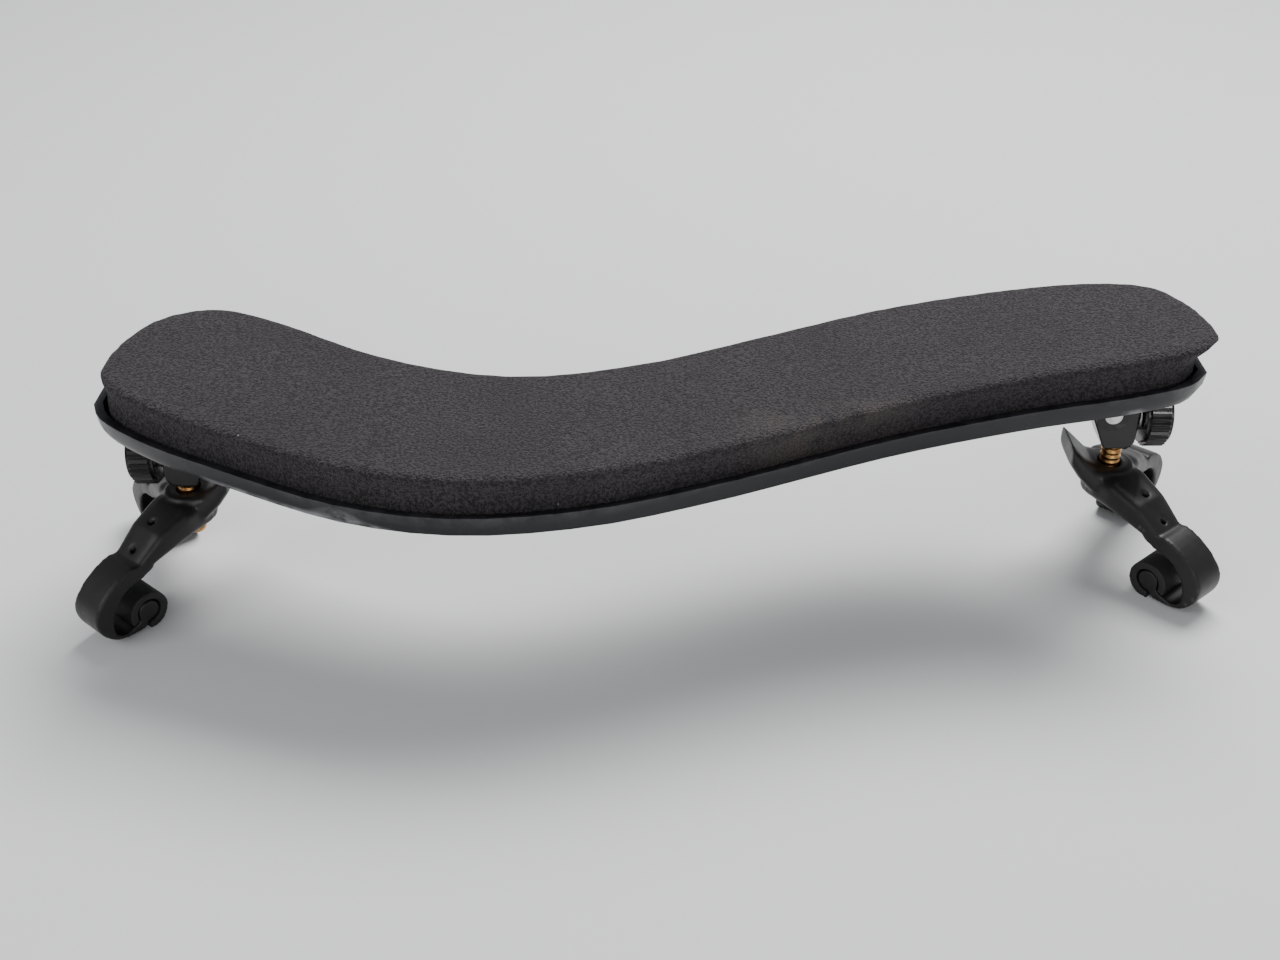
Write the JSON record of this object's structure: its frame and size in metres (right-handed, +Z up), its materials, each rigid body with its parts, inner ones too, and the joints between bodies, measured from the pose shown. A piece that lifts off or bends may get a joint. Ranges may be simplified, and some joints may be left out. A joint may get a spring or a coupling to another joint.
{
  "type": "violin shoulder rest",
  "caption": "Curved shoulder rest with a foam pad on a moulded tray, folding height-adjustable forks and rubber-covered claws that grip a violin's edges.",
  "frame": {"origin": "under the middle of the rest's box, on the surface that its claws stand on", "axes": "+X along the rest from its wide end to its narrow end, +Y across it to the back, +Z up from the claws to the pad"},
  "size_m": [0.2808, 0.0932, 0.0748],
  "materials": {
    "foam": "matt closed-cell foam with a fine grain",
    "adhesive": "thin adhesive sheet",
    "tray_plastic": "satin black moulded plastic",
    "leg_plastic": "fine-textured black moulded plastic",
    "claw_rubber": "black rubber",
    "steel": "bright plated steel",
    "brass": "tarnished brass"
  },
  "bodies": {
    "bar": {"foam_pad": "foam", "pad_adhesive": "adhesive", "tray": "tray_plastic", "left_base_plate": "steel", "left_saddle": "leg_plastic", "left_screw_front": "steel", "left_screw_back": "steel", "left_hinge_pin": "steel", "right_base_plate": "steel", "right_saddle": "leg_plastic", "right_screw_front": "steel", "right_screw_back": "steel", "right_hinge_pin": "steel"},
    "left_leg": {"left_pivot_block": "leg_plastic", "left_height_post": "brass", "left_washer": "steel"},
    "left_wheel": {"left_thumbwheel": "leg_plastic", "left_wheel_stud": "brass"},
    "left_claws": {"left_fork": "leg_plastic", "left_rubber_front": "claw_rubber", "left_rubber_back": "claw_rubber"},
    "right_leg": {"right_pivot_block": "leg_plastic", "right_height_post": "brass", "right_washer": "steel"},
    "right_wheel": {"right_thumbwheel": "leg_plastic", "right_wheel_stud": "brass"},
    "right_claws": {"right_fork": "leg_plastic", "right_rubber_front": "claw_rubber", "right_rubber_back": "claw_rubber"}
  },
  "joints": [
    {"name": "left_fold", "type": "hinge", "parent": "bar", "child": "left_leg", "pos_m": [-0.11225, 0.00336, 0.0418], "axis": [0, -1, 0], "range_deg": [0, 50]},
    {"name": "left_lock", "type": "hinge", "parent": "left_leg", "child": "left_wheel", "pos_m": [-0.12125, 0.00336, 0.0386], "axis": [-1, 0, 0], "range_deg": [0, 360]},
    {"name": "left_height", "type": "slide", "parent": "left_leg", "child": "left_claws", "axis": [0, 0, -1], "range_m": [-0.0018, 0.006]},
    {"name": "right_fold", "type": "hinge", "parent": "bar", "child": "right_leg", "pos_m": [0.11225, 0.01536, 0.045], "axis": [0, 1, 0], "range_deg": [0, 50]},
    {"name": "right_lock", "type": "hinge", "parent": "right_leg", "child": "right_wheel", "pos_m": [0.12125, 0.01536, 0.0418], "axis": [1, 0, 0], "range_deg": [0, 360]},
    {"name": "right_height", "type": "slide", "parent": "right_leg", "child": "right_claws", "axis": [0, 0, -1], "range_m": [-0.005, 0.0035]}
  ]
}
